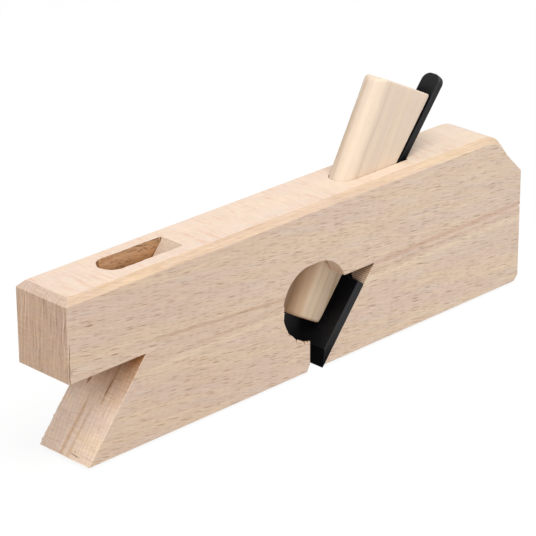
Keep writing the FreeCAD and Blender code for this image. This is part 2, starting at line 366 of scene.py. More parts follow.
# Coordinates of a sawn end, bent and leaning so that its upright reeds wander.
def sawnPlaces(flat, z, look):
    bent = swing(noise(flat, *look.bend), look.bendWidth)
    shift = {"Y": plus(bent, times(z, look.lean)), "Z": times(bent, look.bendRise)}
    return vectors("ADD", flat, put("CombineXYZ", shift).outputs[0])


# What the beech's layers share: coordinates along the stock and along its fibres, which swing slowly up and down,
# masks of the faces, and the patterns that more than one layer reads.
def beechPlaces(tree, look):
    flat, normal = places(tree)
    grain = turned(flat, 0.0, look.tilt)
    lift = put("CombineXYZ", {"Z": swing(noise(grain, *look.sway), look.swayHeight)}).outputs[0]
    grain = vectors("ADD", grain, lift)
    x, y, z = split(flat)
    facingX, facingY, facingZ = split(normal)
    bedFace = times(step(facingX, *look.bedFaceX), step(facingZ, *look.bedFaceZ))
    return SimpleNamespace(
        flat=flat, grain=grain, sawn=sawnPlaces(flat, z, look), x=x, y=y, z=z,
        endFace=step(unsigned(facingX), *look.endFace),
        partEnd=step(unsigned(facingX), *look.partEnd),
        levelFace=step(unsigned(facingZ), *look.levelFace),
        upFace=step(facingZ, *look.levelFace),
        chamfer=times(step(unsigned(facingY), *look.chamfer), step(facingZ, *look.chamfer)),
        nearFace=step(facingY, *look.nearFace),
        bedFace=bedFace,
        slotFace=times(bedFace, step(x, *look.slot)),
        open=openness(tree, look.cavityReach, True),
        cloud=noise(grain, *look.cloud),
        fibre=noise(grain, *look.fibre),
        longRays=dashes(grain, *look.longRays))


# Growth rings: distance from the pith, cut into years, darker towards each year's end and more in some years.
def beechRings(wood, look, colour):
    away = minus(wood.y, look.ringMiddle[0])
    above = minus(wood.z, look.ringMiddle[1])
    reach = maths("SQRT", plus(times(away, away), times(above, above)))
    reach = plus(reach, times(noise(wood.flat, *look.ringWobble), look.ringWobbleHeight))
    season, year = calendar(maths("DIVIDE", reach, look.ringSpacing))
    latewood = times(window(season, *look.latewood), step(year, *look.ringYear))
    onSide, onEnd = look.ringShare
    share = plus(onSide, times(wood.partEnd, onEnd))
    return mix(times(latewood, share), colour, look.ringColour)


# Bands along the near side and streaks down the toe bed: each is a mask of the distance from its own line, times
# masks of its two ends. The slot's bed is painted darker towards its top, a painted shade under the slot's ceiling.
def beechFigure(wood, look, colour):
    waver = swing(noise(wood.flat, *look.waver), look.waverHeight)
    height = plus(wood.z, waver)
    core, fadeIn, fadeOut = look.bandFade
    for middle, rise, half, strength, start, end, bandColour in beechBands:
        offset = unsigned(minus(height, plus(times(wood.x, rise), middle)))
        ends = window(wood.x, (start, start + fadeIn), (end, end - fadeOut))
        mask = times(step(offset, half, half * core), ends, times(wood.nearFace, strength))
        colour = mix(mask, colour, bandColour)
    share, fadeIn, fadeOut = look.streakFade
    across = plus(wood.y, times(waver, share))
    for middle, half, strength, low, high in bedStreaks:
        offset = unsigned(minus(across, middle))
        ends = window(wood.z, (low, low + fadeIn), (high, high - fadeOut))
        mask = times(step(offset, half, 0.0), times(wood.bedFace, strength), ends)
        colour = mix(mask, colour, look.streak)
    slotCeilingShade = times(wood.bedFace, times(step(wood.x, *look.slot), step(wood.z, *look.slotBrowning)))
    return mix(slotCeilingShade, colour, look.burnt)


# Medullary rays: long and short dark dashes on the sides, fainter on level faces, ends and chamfers.
def beechRays(wood, look, colour):
    shortRays = dashes(wood.grain, *look.shortRays)
    level, ends, chamfers = look.raysLost
    calm = times(spared(wood.levelFace, level), spared(wood.partEnd, ends), spared(wood.chamfer, chamfers))
    colour = mix(times(wood.longRays, look.longRayShare, calm), colour, look.ray)
    return mix(times(shortRays, look.shortRayShare, calm), colour, look.ray)


# Shade of a sawn end: upright reeds in groups, crossed by fine lines that weave patches on the beds, less dark
# hairlines, plus slanting scratches, painted light at the beds' feet and the cutter's waves in the slot.
def endShade(wood, look):
    crossing = noise(wood.sawn, *look.crossing)
    onEnd, lostOnBed = look.reedShare
    reedShare = times(minus(onEnd, times(wood.bedFace, lostOnBed)), clouds(wood.sawn, *look.reedGroups))
    crossShare = plus(look.crossShare, times(wood.bedFace, clouds(wood.flat, *look.woven)))
    shade = plus(swing(noise(wood.sawn, *look.reeds), reedShare), swing(crossing, crossShare))
    upper = times(wood.endFace, step(wood.z, *look.hairlineHeight))
    shade = minus(shade, times(dashes(wood.sawn, *look.hairlines), upper))
    scratches = dashes(turned(wood.flat, look.scratchTurn, 0.0), *look.scratches)
    shade = plus(shade, times(scratches, wood.endFace, look.scratchShare))
    # Painted light: the beds lighter towards their feet.
    shade = plus(shade, times(wood.bedFace, step(wood.z, *look.bedLight)))
    drift, waves, strength = look.milled
    milled = maths("SINE", times(plus(wood.z, times(crossing, drift)), waves))
    return plus(shade, times(milled, strength, times(wood.bedFace, step(wood.x, *look.milledLength))))


# Light and dark of the wood: the fibres and threads, the sawn ends, cross streaks on level faces and lengthwise
# lines on the chamfers. Green and blue take a power of it, so that dark wood is browner.
def beechShade(wood, look, colour):
    darkest, ofFibre, ofThreads = look.shade
    shade = plus(darkest, plus(times(wood.fibre, ofFibre), times(noise(wood.grain, *look.threads), ofThreads)))
    shade = plus(shade, times(endShade(wood, look), wood.partEnd))
    shade = plus(shade, times(swing(noise(wood.flat, *look.shimmer), look.shimmerShare), wood.levelFace))
    shade = plus(shade, times(swing(noise(wood.flat, *look.planed), *look.planedShare), wood.chamfer))
    green, blue = (maths("POWER", shade, power) for power in look.browning)
    return multiplied(colour, put("CombineColor", {0: shade, 1: green, 2: blue}).outputs[0])


# Tints of the faces: ends, the top (paler partly by its own tone, partly by painted sheen) with its feathered
# streaks,
# the chamfers, and painted light: a drift from toe to heel, brighter on the heel's near side.
def beechTints(wood, look, colour):
    colour = tinted(wood.endFace, colour, look.endTint)
    # The top's paler tint: partly its own tone, partly painted sheen.
    colour = mix(times(wood.upFace, look.topShare), colour, look.topColour)
    feather = times(clouds(wood.sawn, *look.feathers), step(wood.cloud, *look.featherCloud),
                    step(wood.x, *look.featherLength))
    colour = mix(times(feather, wood.upFace), colour, look.feather)
    colour = tinted(wood.chamfer, colour, look.chamferTint)
    # Painted light: darker at the toe, brighter at the heel and most on its near side.
    heelTint = mix(wood.nearFace, look.heelTint, look.heelSideTint)
    return multiplied(colour, mix(step(wood.x, *look.toeToHeel), look.toeTint, heelTint))


# Painted shade in hollows: closed-in places and the mortises' walls (partly their own rougher, chopped wood) are
# browner, less on the mortise's bed, which is painted paler as if lit, and where light falls on the slot's bed. Torn
# marks and the painted shadow under the slot's ceiling lie on top.
def beechHollowShade(wood, look, colour):
    inside = times(step(unsigned(wood.y), *look.mortiseWidth), window(wood.z, *look.mortiseHeight))
    inside = times(inside, step(unsigned(plus(wood.x, look.mortiseMiddle)), *look.mortiseEnds))
    hollowShadeShare = maths("MAXIMUM", step(wood.open, *look.cavityMask), times(inside, look.mortiseShare))
    # Painted light on the mortise's bed.
    chiselled = times(inside, wood.bedFace, step(wood.x, *look.chiselled))
    colour = mix(times(chiselled, look.chiselledLight), colour, look.arris)
    hollowShadeShare = times(hollowShadeShare, spared(chiselled, look.chiselledSpared), spared(wood.slotFace, look.slotSpared))
    shaded = times(minus(wood.bedFace, wood.slotFace), window(wood.z, *look.bedShade))
    hollowShadeShare = maths("MAXIMUM", hollowShadeShare, shaded)
    colour = tinted(hollowShadeShare, colour, look.cavity)
    tears = times(clouds(wood.grain, *look.tears), step(wood.z, *look.tearHeight))
    colour = mix(times(tears, hollowShadeShare), colour, look.torn)
    # Painted shadow: a dark line just under the slot's ceiling.
    burnt = step(plus(wood.z, times(wood.fibre, look.burntWander)), *look.burntHeight)
    return mix(times(wood.slotFace, burnt), colour, look.burnt)


# The stock's wood: pink and cream patches greyed in clouds, under the layers above and the worn edges, painted paler
# also as a highlight. Fibres and an end's ridges stand up, rays lie deep.
def beechMaterial(name, look):
    material, tree, shader = newMaterial(name, look)
    look = SimpleNamespace(**look)
    wood = beechPlaces(tree, look)
    colour = mix(clouds(wood.grain, *look.patch), look.pink, look.cream)
    colour = mix(step(wood.cloud, *look.greyedMask), colour, look.greyed)
    for layer in (beechRings, beechFigure, beechRays, beechShade, beechTints, beechHollowShade):
        colour = layer(wood, look, colour)
    # Edges: worn wood and a painted highlight.
    wear = times(arrisMask(tree, *look.arrisMask), clouds(wood.flat, *look.wear))
    colour = mix(wear, colour, look.arris)
    roughness = step(plus(times(wood.longRays, look.roughRays), wood.fibre), *look.roughness)
    ofFibre, ofRays, ofRidges = look.relief
    height = minus(times(wood.fibre, ofFibre), times(wood.longRays, ofRays))
    height = plus(height, times(noise(wood.flat, *look.ridges), wood.endFace, ofRidges))
    finishShader(shader, colour, roughness, height, *look.bump)
    return material


hornbeamLook = {
    "tilt": 60.9,  # fibres run up the wedge's front
    "cream": tone(228, 208, 184),
    "pink": tone(223, 203, 184),
    "patch": (((90.0, 8.0, 6.0), 2.0, 0.5, (2.0, 0.7, 0.9)), (0.38, 0.62)),
    "line": tone(204, 176, 146),
    "stripes": ((120.0, 2.6, 2.6), 3.0, 0.6, (4.0, 0.2, 0.6)),
    "stripeMask": (0.52, 0.70, 0.0, 0.20),
    "ringSpacing": 5.2,
    "ringLean": 0.45,
    "ringWobble": ((70.0, 10.0, 10.0), 2.0, 0.5, (1.0, 1.0, 5.0)),
    "ringWobbleHeight": 5.0,
    "yearEnd": ((0.76, 0.97), (1.0, 0.975)),
    "ringYear": (0.0, 1.0, 0.12, 0.60),
    "fibre": ((22.0, 0.8, 0.5), 3.0, 0.6, (3.0, 3.0, 3.0)),
    "pores": ((6.0, 0.9, 0.7), (2.6, 0.2, 0.16), (1.0, 2.0, 3.0), 0.3, 1.0),
    "poreShare": 0.5,
    "shade": (0.95, 0.10),  # the darkest, and what the fibres add
    "beddedHeight": (70.0, 46.0),  # where it sits inside the stock, painted shade there
    "beddedWander": 8.0,
    "handled": tone(234, 219, 200),  # painted shade on its round front there
    "bedded": tone(248, 244, 236),  # and its flats
    "frontMask": (-0.10, -0.45),
    "oiled": tone(184, 150, 114),  # streaks there
    "oiledMask": (0.46, 0.62, 0.0, 0.45),
    "roughness": (0.3, 0.7, 0.42, 0.58),
    "specular": 0.35,
    "bump": (0.3, 0.08),
}


# The wedge's wood: patches and stripes along its fibres; growth lines as slightly bent sheets, thin and dark at
# each year's end; pores; then painted shade where it sits inside the stock, more on its round front, with brown
# streaks there.
def hornbeamMaterial(name, look):
    material, tree, shader = newMaterial(name, look)
    look = SimpleNamespace(**look)
    flat, normal = places(tree)
    grain = turned(flat, 0.0, look.tilt)
    grainY, grainZ = split(grain)[1:]
    colour = mix(clouds(grain, *look.patch), look.cream, look.pink)
    stripes = noise(grain, *look.stripes)
    colour = mix(step(stripes, *look.stripeMask), colour, look.line)
    depth = plus(plus(grainZ, times(grainY, look.ringLean)),
                 times(noise(grain, *look.ringWobble), look.ringWobbleHeight))
    season, year = calendar(maths("DIVIDE", depth, look.ringSpacing))
    colour = mix(times(window(season, *look.yearEnd), step(year, *look.ringYear)), colour, look.line)
    colour = mix(times(dashes(grain, *look.pores), look.poreShare), colour, look.line)
    fibre = noise(grain, *look.fibre)
    shade = plus(look.shade[0], times(fibre, look.shade[1]))
    colour = multiplied(colour, put("CombineColor", {0: shade, 1: shade, 2: shade}).outputs[0])
    # Painted shade where the wedge sits inside the stock, more on its round front.
    bedded = step(plus(split(flat)[2], times(fibre, look.beddedWander)), *look.beddedHeight)
    shadeTint = mix(step(split(normal)[0], *look.frontMask), look.bedded, look.handled)
    colour = tinted(bedded, colour, shadeTint)
    colour = mix(times(step(stripes, *look.oiledMask), bedded), colour, look.oiled)
    finishShader(shader, colour, step(fibre, *look.roughness), fibre, *look.bump)
    return material


ironLook = {
    "black": tone(7, 7, 9),
    "dusty": tone(17, 18, 20),
    "dustyMask": (0.35, 0.7, 0.0, 0.35),
    "worn": tone(52, 54, 58),
    "wornMask": (0.3, 0.6, 0.3, 0.9),
    "arrisMask": (0.5, 0.88),
    "cloud": ((9.0, 9.0, 9.0), 3.0, 0.6),
    "grit": ((0.9, 0.9, 0.9), 2.0, 0.6, (4.0, 4.0, 4.0)),
    "mottle": (0.6, 0.4),  # shares of the cloud and the grit in the roughness
    "roughness": (0.3, 0.7, 0.40, 0.58),
    "openReach": 25.0,
    "gloss": (0.60, 0.90, 0.015, 0.28),  # specular level by how open the place is: painted shade, darker where closed in
    "relief": (1.0, 0.25),  # shares of the cloud and the grit in the height
    "bump": (0.35, 0.15),
}


# Forge-black iron: cloudy black, metal showing on worn edges, and painted shade: less gloss where it is closed in by
# the stock.
def blackIronMaterial(name, look):
    material, tree, shader = newMaterial(name, look)
    look = SimpleNamespace(**look)
    flat = places(tree)[0]
    cloud, grit = noise(flat, *look.cloud), noise(flat, *look.grit)
    mottle, height = (plus(times(cloud, ofCloud), times(grit, ofGrit))
                      for ofCloud, ofGrit in (look.mottle, look.relief))
    colour = mix(step(cloud, *look.dustyMask), look.black, look.dusty)
    colour = mix(times(arrisMask(tree, *look.arrisMask), step(cloud, *look.wornMask)), colour, look.worn)
    tree.links.new(step(openness(tree, look.openReach), *look.gloss), shader.inputs["Specular IOR Level"])
    finishShader(shader, colour, step(mottle, *look.roughness), height, *look.bump)
    return material


beech = beechMaterial("oiledBeech", beechLook)
hornbeam = hornbeamMaterial("paleHornbeam", hornbeamLook)
blackIron = blackIronMaterial("blackenedIron", ironLook)
print("materials made")


# A new object round a mesh, in the scene.
def linkMesh(name, mesh):
    thing = bpy.data.objects.new(name, mesh)
    scene.collection.objects.link(thing)
    return thing


# Rings of corners, each joined to the next by square faces, and the faces of its ends. Corners closer than doubles
# are merged, so that a ring shrunk to a point becomes a pole, and every face is turned outwards.
def tube(name, corners, ends=(), doubles=0.0):
    rings, sides = corners.shape[:2]
    here = np.arange((rings - 1) * sides).reshape(rings - 1, sides)
    beside = np.roll(here, -1, axis=1)
    walls = np.stack([here, beside, beside + sides, here + sides], axis=2).reshape(-1, 4)
    mesh = bpy.data.meshes.new(name)
    mesh.from_pydata((corners.reshape(-1, 3) * mm).tolist(), [], walls.tolist() + list(ends))
    shape = bmesh.new()
    shape.from_mesh(mesh)
    if doubles:
        bmesh.ops.remove_doubles(shape, verts=shape.verts, dist=doubles)
    bmesh.ops.recalc_face_normals(shape, faces=shape.faces)
    shape.to_mesh(mesh)
    shape.free()
    return linkMesh(name, mesh)


# A sliver with a many-cornered section: its corner lines run side by side, and a face closes each end.
def sliver(name, *lines):
    first = list(range(len(lines)))
    last = [corner + len(lines) * (len(lines[0]) - 1) for corner in first]
    return tube(name, np.stack(lines, axis=1), [first[::-1], last])


# Saw-toothed widths: each tooth grows along its length from thin to its own random height, then drops.
def teeth(length, count, toothLength, least, most, seed):
    along = np.linspace(0.0, length, count)
    position = along / toothLength
    heights = np.random.default_rng(seed).uniform(least, most, int(position[-1]) + 2)
    share = position - np.floor(position)
    return along, least + (heights[position.astype(int)] - least) * share


# The thing less the cutter, which is then removed.
def cut(thing, cutter):
    modifier = thing.modifiers.new("cut", "BOOLEAN")
    modifier.operation = "DIFFERENCE"
    modifier.solver = "EXACT"
    modifier.object = cutter
    bpy.context.view_layer.update()
    evaluated = thing.evaluated_get(bpy.context.evaluated_depsgraph_get())
    mesh = bpy.data.meshes.new_from_object(evaluated)
    thing.modifiers.clear()
    old = thing.data
    thing.data = mesh
    bpy.data.meshes.remove(old)
    shape = cutter.data
    bpy.data.objects.remove(cutter)
    bpy.data.meshes.remove(shape)


mergeWithin = 1e-6
alongX, alongY, alongZ = np.eye(3)

stockEdges = {
    "arris": 0.28,  # width of the broken edges
    "flatAngle": 0.6,  # degrees: faces that turn less are one
    "edgeAngle": 25.0,  # edges that turn more are broken
    "sharpAngle": 32.0,  # and shaded sharp
}


# The CAD stock with every sharp edge broken by a small two-step bevel.
def stockBlank(values):
    shape = bmesh.new()
    shape.from_mesh(nodes["stock"].data)
    bmesh.ops.remove_doubles(shape, verts=shape.verts, dist=mergeWithin)
    bmesh.ops.dissolve_limit(shape, angle_limit=math.radians(values["flatAngle"]), verts=shape.verts,
                             edges=shape.edges)
    sharp = [e for e in shape.edges if e.is_manifold and e.calc_face_angle() > math.radians(values["edgeAngle"])]
    bmesh.ops.bevel(shape, geom=sharp, offset=values["arris"] * mm, offset_type="OFFSET", segments=2,
                    profile=0.5, affect="EDGES", clamp_overlap=True)
    mesh = bpy.data.meshes.new("stockBody")
    shape.to_mesh(mesh)
    shape.free()
    return linkMesh("stockBody", mesh)


throat = {
    "boreMiddle": (-0.65, 0.0, 32.1),
    "boreRadius": 16.6,
    "arc": (207, 272),  # degrees round the bore, from its toe side to the mouth
    "points": 120,
    "rim": {"length": 19.0, "toothLength": 1.7, "least": 0.05, "most": 2.1, "seed": 11},
    "fadeIn": 14,  # degrees over which the teeth grow
    "swellFrom": (228, 40),  # degrees where the rim starts to swell, and over how many
    "swell": (1.1, 1.5),  # by how much, and the power of its curve
    "thickness": (0.1, 0.7),  # of the torn edge: out and inwards
    "nearY": -15.0,
    "farY": 15.6,
    "reliefDepth": 7.6,  # ramp under the rim: how far it drops, and over what width
    "reliefRun": 10.0,
    "reliefFrom": (205, 25),  # degrees where it starts to drop, and over how many
    "overlap": 1.0,  # of the cut into the bore
}


# Throat relief: below the bore's rim a ramp drops inwards to the far side, so the rim is a feather edge, torn in saw
# teeth. Its section runs from inside the bore over the torn rim, down the ramp and out through the far face.
def throatRelief(values):
    count = values["points"]
    turn = np.radians(np.linspace(*values["arc"], count))
    degrees = np.degrees(turn)
    width = teeth(count=count, **values["rim"])[1]
    swellStart, swellRun = values["swellFrom"]
    most, power = values["swell"]
    width = width * np.clip((degrees - values["arc"][0]) / values["fadeIn"], 0.1, 1.0) \
        + most * np.clip((degrees - swellStart) / swellRun, 0, 1) ** power
    outward = np.stack([np.cos(turn), np.zeros(count), np.sin(turn)], axis=1)
    rim = np.array(values["boreMiddle"]) + outward * values["boreRadius"]
    reliefStart, reliefRun = values["reliefFrom"]
    deep = values["reliefDepth"] * np.clip((degrees - reliefStart) / reliefRun, 0.02, 1.0)
    near, ramp, far = (alongY * y for y in (values["nearY"] - 0.5, values["nearY"] + values["reliefRun"],
                                            values["farY"]))
    out, inward = values["thickness"]
    inBore = rim - outward * values["overlap"]
    return sliver("throatRelief", inBore + near, rim + outward * width[:, None] + near,
                  rim + outward * (width + out)[:, None] + near + alongY * inward,
                  rim + outward * deep[:, None] + ramp, rim + outward * deep[:, None] + far, inBore + far)


toeBed = {"slope": math.radians(51.0), "footX": -126.3, "top": 39.4}
upBed = np.array([math.cos(toeBed["slope"]), 0.0, math.sin(toeBed["slope"])])
offBed = np.array([-math.sin(toeBed["slope"]), 0.0, math.cos(toeBed["slope"])])

# Splits in the toe bed: (y, distance from the bed's top) of both ends, half width, depth.
bedSplits = [
    ((-5.2, 14.0), (-4.8, 23.0), 0.30, 2.0),
    ((6.4, 15.0), (6.9, 20.6), 0.75, 2.6),
    ((-1.6, 48.4), (-8.2, 48.9), 0.20, 0.8),
    ((-3.4, 46.9), (-5.2, 47.6), 0.14, 0.6),
    ((-8.4, 27.0), (-8.9, 31.0), 0.12, 0.5),
    ((-9.6, 33.5), (-10.4, 36.5), 0.11, 0.5),
]


# A point on the toe bed: from its top, a distance down its slope.
def bedPoint(y, fromTop):
    topX = toeBed["footX"] + toeBed["top"] / math.tan(toeBed["slope"])
    return np.array([topX, y, toeBed["top"]]) - upBed * fromTop


# A split in the toe bed: a V groove between two points, widest and deepest halfway by the root of a sine.
def bedSplit(start, end, width, deep):
    start, end = bedPoint(*start), bedPoint(*end)
    side = np.cross((end - start) / np.linalg.norm(end - start), offBed)
    share = np.linspace(0.0, 1.0, 24)[:, None]
    swell = np.sqrt(np.sin(np.pi * np.clip(share, 0.01, 0.99)))
    path = start + (end - start) * share
    lift = offBed * 0.2
    return sliver("bedSplit", path + side * width * swell + lift, path - side * width * swell + lift,
                  path - offBed * deep * swell)


# Chips in the upright edges: x and y, lowest and highest, which way the wood lies in x and y, tooth length, widest
# and seed.
chippedEdges = [
    (-135.0, 15.0, 57.0, 71.0, 1.0, -1.0, 2.1, 0.55, 12),
    (-135.0, -15.0, 52.2, 55.2, 1.0, 1.0, 1.5, 1.3, 8),
    (135.0, -15.0, 35.2, 39.0, -1.0, 1.0, 1.9, 1.7, 9),
]
chipShape = {"points": 60, "least": 0.02, "outside": 0.5, "sideways": 1.2, "skin": 0.001}


# Chipped corner of an upright edge: teeth on both of its faces.
def edgeChips(x, y, low, high, inwardX, inwardY, tooth, most, seed):
    count, outside, skin = chipShape["points"], chipShape["outside"], chipShape["skin"]
    along, width = teeth(high - low, count, tooth, chipShape["least"], most, seed)
    base = np.stack([np.full(count, x), np.full(count, y), low + along], axis=1)
    toX, toY = alongX * inwardX, alongY * inwardY
    return sliver("edgeChips", base - toX * outside - toY * outside,
                  base + toX * (width[:, None] + skin) - toY * outside,
                  base + toY * (width[:, None] * chipShape["sideways"] + skin) - toX * outside)


toeMortiseRim = {"frontX": -104.07, "endX": -65.9, "halfWidth": 6.2, "top": 75.0, "least": 0.12, "most": 0.75,
                 "seed": 21}
rimCut = {"inside": 0.6, "above": 0.5, "width": 0.004, "deep": 8.0, "deeper": 8.4}


# Hand-chopped rim of a mortise: round the outline (half circle, two sides, square end) a thin ring is cut away whose
# width wanders with smoothed random numbers.
def choppedRim(frontX, endX, halfWidth, top, least, most, seed):
    turn = np.linspace(-math.pi / 2, -3 * math.pi / 2, 26)[1:]
    sides = np.linspace(0.0, 1.0, 64)[1:]
    still = 0 * sides
    middle = frontX + halfWidth
    x = np.concatenate([endX + (middle - endX) * sides, middle + halfWidth * np.cos(turn),
                        middle + (endX - middle) * sides])
    y = np.concatenate([still - halfWidth, halfWidth * np.sin(turn), still + halfWidth])
    out = np.stack([np.concatenate([still, np.cos(turn), still]),
                    np.concatenate([still - 1, np.sin(turn), still + 1]), 0 * x], axis=1)
    random = np.random.default_rng(seed).uniform(0, 1, len(x))
    soft = np.convolve(random, np.hanning(9) / np.hanning(9).sum(), mode="same")
    width = least + (most - least) * np.clip((soft - 0.2) / 0.6, 0, 1)
    rim = np.stack([x, y, 0 * x + top], axis=1)
    lift = alongZ * rimCut["above"]
    inner = rim - out * rimCut["inside"]
    return sliver("choppedRim", inner + lift, rim + out * width[:, None] + lift,
                  rim + out * rimCut["width"] - alongZ * rimCut["deep"], inner - alongZ * rimCut["deeper"])


noseSplit = {
    "low": 39.2,
    "high": 57.0,
    "x": -134.55,
    "y": -15.0,
    "wander": 0.35,  # of its path, smoothed over nine points
    "lean": 0.5,  # how far its top moves away from the corner
    "halfWidth": 0.26,
    "depth": 1.4,
    "seed": 6,
}


# A split beside the nose's upright near corner: a shallow V whose path wanders across the near side and closes
# towards its top.
def cornerSplit(values):
    count = 40
    low, high = values["low"], values["high"]
    z = np.linspace(low, high, count)
    random = np.random.default_rng(values["seed"]).normal(0, 1, count + 8)
    drift = np.convolve(random, np.ones(9) / 9, mode="valid") * values["wander"]
    risen = (z - low) / (high - low)
    x = values["x"] + drift + values["lean"] * risen ** 2
    half = alongX * (values["halfWidth"] * np.sqrt(np.clip(1 - risen ** 3, 0.02, 1)))[:, None]
    line = np.stack([x, 0 * x + values["y"], z], axis=1)
    outside = alongY * 0.2
    return sliver("cornerSplit", line - half - outside, line + half - outside, line + alongY * values["depth"])


# The stock: the blank less its wear, shaded flat on its faces and smooth round its small bevels.
def makeStock():
    body = stockBlank(stockEdges)
    cut(body, choppedRim(**toeMortiseRim))
    cut(body, throatRelief(throat))
    for crack in bedSplits:
        cut(body, bedSplit(*crack))
    cut(body, cornerSplit(noseSplit))
    for chips in chippedEdges:
        cut(body, edgeChips(*chips))
    body.data.materials.clear()
    body.data.materials.append(beech)
    body.data.polygons.foreach_set("material_index", np.zeros(len(body.data.polygons), np.int32))
    body.data.shade_smooth()
    body.data.set_sharp_from_angle(angle=math.radians(stockEdges["sharpAngle"]))
    flatten = body.modifiers.new("flatten", "WEIGHTED_NORMAL")
    flatten.weight = 100
    flatten.keep_sharp = True
    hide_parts("stock")
    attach(body, "stock")


# Torn fibres along an edge: name, its two ends, the ways off the edge and down behind it, tooth length, least, most
# and seed.
frays = [
    ("bedFrayFar", (toeBed["footX"] + 1.0, 15.0, 1.2),
     (toeBed["footX"] + 39.0 / math.tan(toeBed["slope"]), 15.0, 39.0), offBed * 0.3 + alongY * 0.85, -offBed,
     1.3, 0.02, 0.62, 31),
    ("boreFray", (-17.1, -14.95, 28.6), (-16.9, -14.95, 35.0), (0.9, -0.2, 0.1), (-0.5, 0.6, 0.0), 1.1, 0.0, 1.0, 33),
    ("bedFrayFoot", (toeBed["footX"], -14.6, 0.12), (toeBed["footX"], 14.8, 0.12), (-0.9, 0.0, 0.1), (0.5, 0.0, 0.9),
     1.7, 0.0, 0.42, 32),
]
frayRoot = {"below": 0.22, "above": 0.06, "behind": 0.15}


# Torn fibres standing off an edge: a thin ridge whose outer corner rises and falls in saw teeth.
def fray(name, start, end, out, under, tooth, least, most, seed):
    start, end, out, under = (np.array(v, float) for v in (start, end, out, under))
    length = float(np.linalg.norm(end - start))
    along, height = teeth(length, max(24, int(length * 5)), tooth, least, most, seed)
    line = start + (end - start) * (along / length)[:, None]
    behind = out * frayRoot["behind"]
    thing = sliver(name, line + out * height[:, None], line + under * frayRoot["below"] - behind,
                   line - under * frayRoot["above"] - behind)
    thing.data.materials.append(beech)
    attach(thing, "stock")


wedgeShape = {
    "frontTop": (27.909, 75.0),  # where the wedge's front leaves the stock
    "frontAngle": 60.9,
    "thickness": 12.0,
    "standOut": 47.5,
    "footHeight": 22.75,
    "topSlope": 26.5,
    "backFoot": (1.788, 0.0),  # a point on the back's line, and its angle
    "backAngle": 51.459,
    "backArris": 0.5,
    "frontRounding": 3.0,
    "backRounding": 2.0,
    "sideRounding": 0.8,
    "footRounding": 1.2,
    "dome": 0.25,
    "smoothAngle": 40.0,
}

# Points round the section (flat, front, arris, back), rows up the wedge (rounding, length, dome), and how far the
# plain rows stay from the foot and the top.
wedgeGrid = {"flat": 12, "front": 33, "arris": 4, "back": 10, "rounding": 8, "length": 34, "dome": 7,
             "fromFoot": 3.5, "fromTop": 4.0}


# D section: near flat, round front, far flat, and a back between two small arrises. A point's depth behind the front
# is offset + share * (depth - offset) + fixed, so that it follows the wedge's taper; each point has its sideways
# place and its outward direction (backwards, sideways).
def wedgeSection(values, grid):
    radius = values["thickness"] / 2
    arris = values["backArris"]
    flat = np.linspace(1.0, 0.0, grid["flat"], endpoint=False)
    turn = np.linspace(-math.pi / 2, math.pi / 2, grid["front"])
    bend = np.linspace(0.0, math.pi / 2, grid["arris"])
    across = np.linspace(radius - arris, arris - radius, grid["back"])[1:-1]
    onFlat, onFront, onBend, onBack = (0 * part for part in (flat, turn, bend, across))
    share = np.concatenate([flat, onFront, flat[::-1], onBend + 1, onBack + 1, onBend + 1])
    fixed = np.concatenate([onFlat - flat * arris, radius - radius * np.cos(turn), onFlat - flat[::-1] * arris,
                            -arris + arris * np.sin(bend), onBack, -arris + arris * np.cos(bend)])
    offset = np.concatenate([onFlat + radius, onFront, onFlat + radius, onBend, onBack, onBend])
    side = np.concatenate([onFlat - radius, radius * np.sin(turn), onFlat + radius,
                           radius - arris + arris * np.cos(bend), across, -(radius - arris + arris * np.sin(bend))])
    outBack = np.concatenate([onFlat, -np.cos(turn), onFlat, np.sin(bend), onBack + 1, np.cos(bend)])
    outSide = np.concatenate([onFlat - 1, np.sin(turn), onFlat + 1, np.cos(bend), onBack, -np.sin(bend)])
    return share, fixed, offset, side, outBack, outSide


